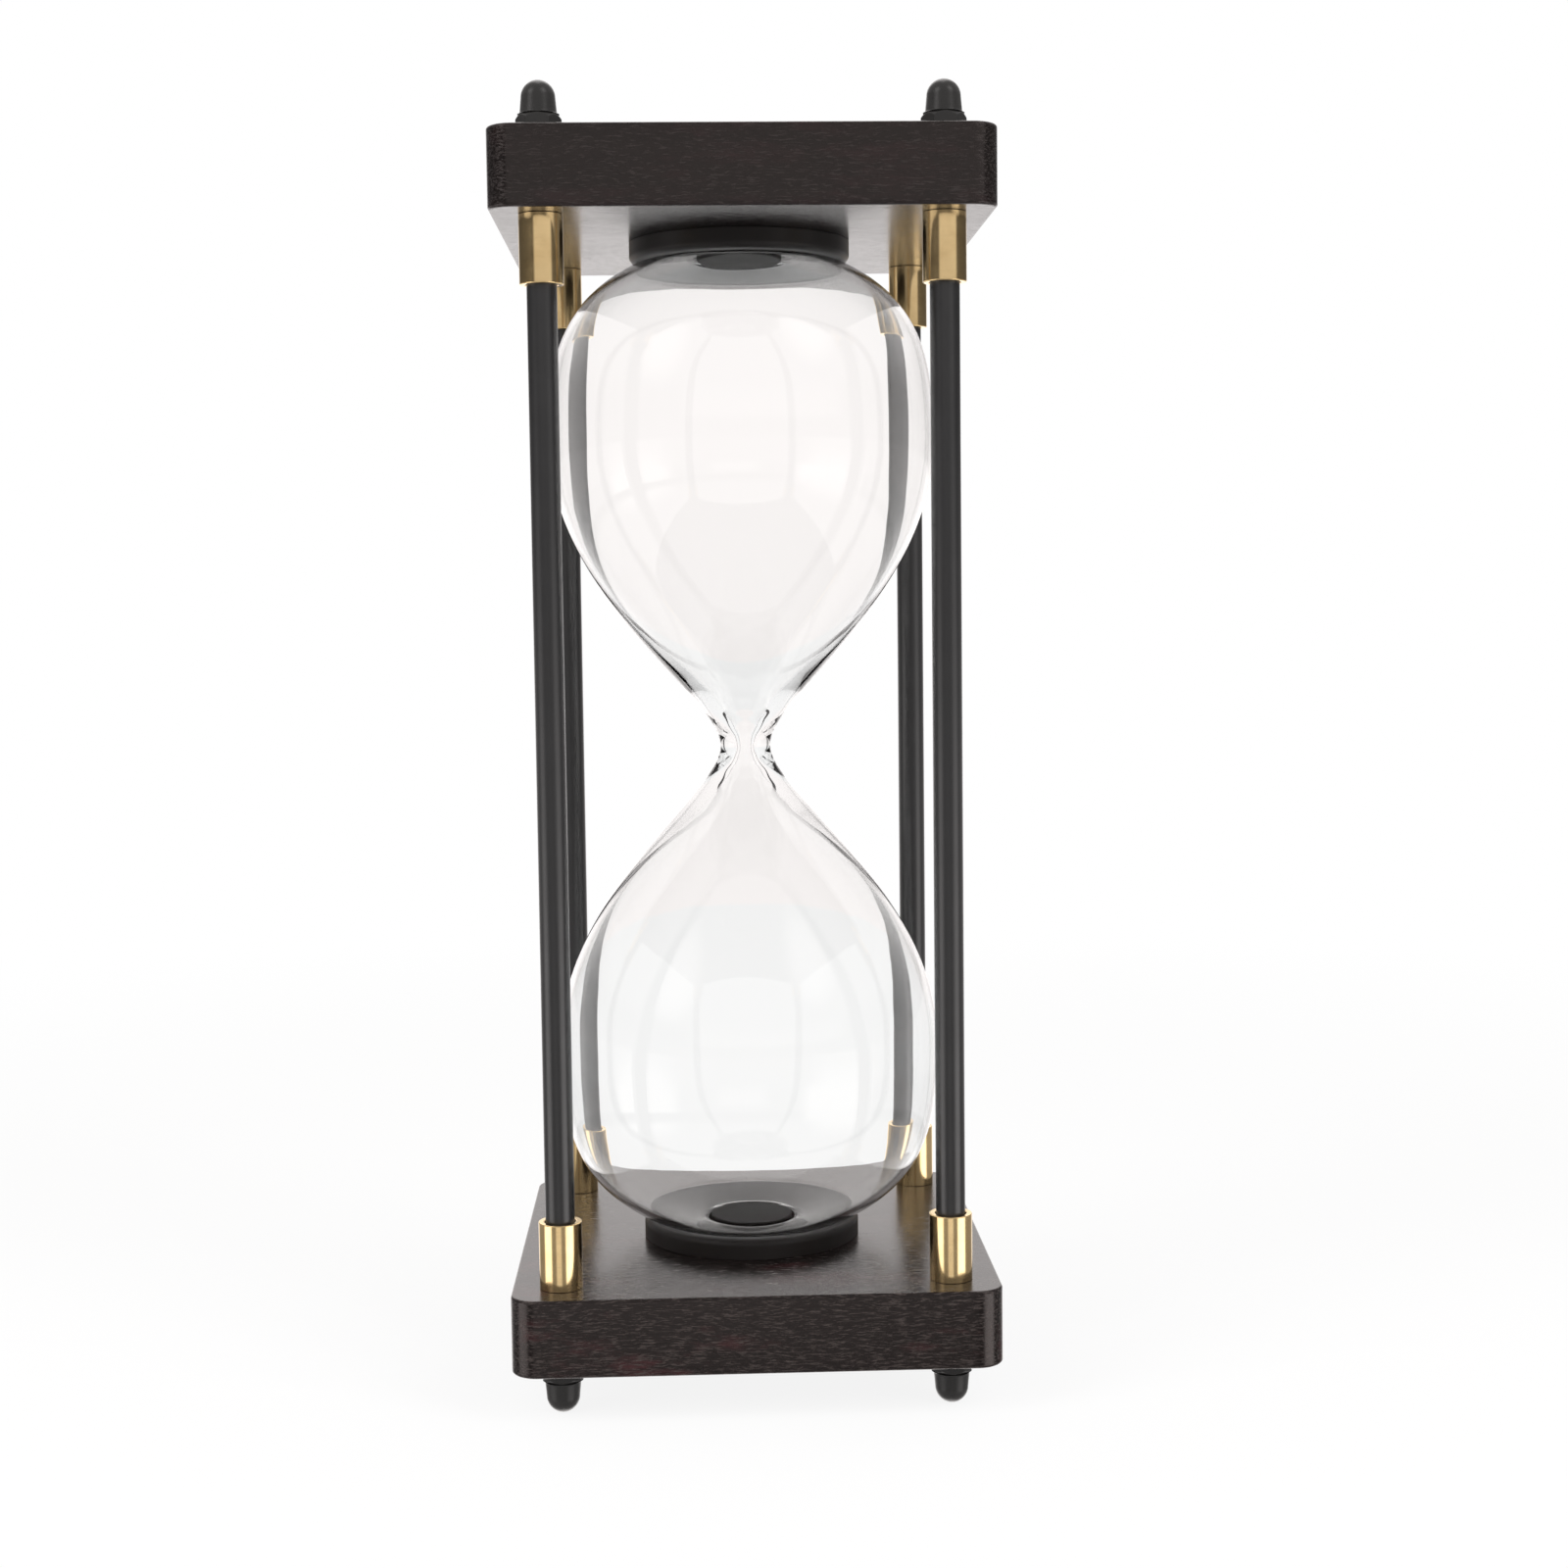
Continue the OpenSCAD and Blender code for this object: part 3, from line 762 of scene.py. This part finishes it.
def bow(centre, radius, start, stop, steps):
    """An arc in (height from the waist, radius); the angle is 0 outwards and 90 degrees
    towards the plate."""
    angle = np.radians(np.linspace(start, stop, steps + 1))
    return np.array(centre) + radius * np.stack([np.sin(angle), np.cos(angle)], 1)


def eased(before, after, reach=0.9, steps=6):
    """Two runs of points that meet in a corner: both stop short of it by reach, and a parabola
    that leaves one and enters the other along their own directions joins them."""
    corner = before[-1]
    before = before[np.linalg.norm(before - corner, axis=1) > reach]
    after = after[np.linalg.norm(after - corner, axis=1) > reach]
    start = corner + reach * (before[-1] - corner) / np.linalg.norm(before[-1] - corner)
    stop = corner + reach * (after[0] - corner) / np.linalg.norm(after[0] - corner)
    s = np.linspace(0, 1, steps + 1)[:, None]
    curve = (1 - s) ** 2 * start + 2 * s * (1 - s) * corner + s ** 2 * stop
    return np.concatenate([before, curve, after])


def glass_half():
    """Half an outline: the outside from the waist along the flare, the shoulder and the bend
    into the mouth, round the lip, and back along the inside, which is the outside moved in
    by the wall. The wall is thick at the waist and thins along the flare."""
    s = np.linspace(0, 1, 91)
    flare, flare_run = cubic(FLARE, s)
    shoulder, shoulder_run = cubic(SHOULDER, np.linspace(0, 1, 71)[1:])
    extra = waist_r - waist_bore_r - wall
    flare_wall = (wall + extra * (1 - s ** 2) ** 8)[:, None]
    inwards = np.array([1, -1])
    flare_in = flare + flare_wall * flare_run[:, ::-1] * inwards
    shoulder_in = shoulder + wall * shoulder_run[:, ::-1] * inwards
    tangent = 270 - math.degrees(dish)
    bend_at = (half_gap - bend_rise, bend_r)
    lip_at = (half_gap - lip_rise, bend_r - mouth_bend - wall / 2)
    outside_bend = bow(bend_at, mouth_bend, tangent, 180, 8)
    inside_bend = bow(bend_at, mouth_bend + wall, 180, tangent, 8)
    lip = bow(lip_at, wall / 2, 0, 180, 10)
    share = np.linspace(0, 1, 15)[1:-1, None]
    end = shoulder[-1] + share * (outside_bend[0] - shoulder[-1])
    rim_in = inside_bend[-1] + (seat - outside_bend[0]) * 0.955
    end_in = inside_bend[-1] + share * (rim_in - inside_bend[-1])
    shoulder_in = shoulder_in[np.hypot(*(shoulder_in - rim_in).T) > 0.3]
    outside = eased(np.concatenate([flare, shoulder]), np.concatenate([end, outside_bend]))
    inside = eased(np.concatenate([inside_bend, end_in, [rim_in]]),
                   np.concatenate([shoulder_in[::-1], flare_in[::-1]]))
    return np.concatenate([outside, lip, inside])


def ripple(grid, depth=0.035, reach=9.0):
    """The drawn neck isn't quite even: soft rings and a slow twist push its surface in and
    out by up to depth, dying away at reach from the waist."""
    height = grid[..., 2] - waist_z
    angle = np.arctan2(grid[..., 1], grid[..., 0])
    fade = np.exp(-(height / reach) ** 2) * (1 - np.exp(-(height / 1.5) ** 2))
    wave = np.sin(1.9 * height + 0.8 * np.sin(angle)) + 0.6 * np.sin(0.9 * height - 2 * angle)
    radius = np.hypot(grid[..., 0], grid[..., 1])
    swell = 1 + depth * fade * wave / radius
    return grid * np.stack([swell, swell, np.ones_like(swell)], -1)


half = glass_half()[:, ::-1]
upper = half + (0, waist_z)
lower = half[::-1] * (1, -1) + (0, waist_z)
make_piece(
    "glass_body_blown", [ripple(turned(np.concatenate([upper, lower[1:]]), around=180))],
    clear_glass(), "glass_body", "glass")


# ---- Stoppers --------------------------------------------------------------
# Two soft black plugs that close the mouths once the sand is in. They are pushed
# in from the plate's side and lie hidden in the rings' holes.

stopper_black = coated("stopper rubber", (0.007, 0.007, 0.007, 1), (0.014, 0.014, 0.013, 1),
                       0.5, 0.06, 0.6, 0.5, Specular_IOR_Level=0.2)
stopper_low, stopper_high = box_mm("stopper_lower")
stopper_r = (stopper_high[0] - stopper_low[0]) / 2
stopper_h = stopper_high[2] - stopper_low[2]
plug = rounded([(0, 0), (stopper_r, 0), (stopper_r, stopper_h), (0, stopper_h)], (0.45, 0.45))
for node, foot, up in (
    ("stopper_lower", stopper_low[2], 1),
    ("stopper_upper", box_mm("stopper_upper")[1][2], -1),
):
    make_piece(node + "_rubber", [turned(plug * (1, up) + (0, foot), around=96)],
               stopper_black, node, node)
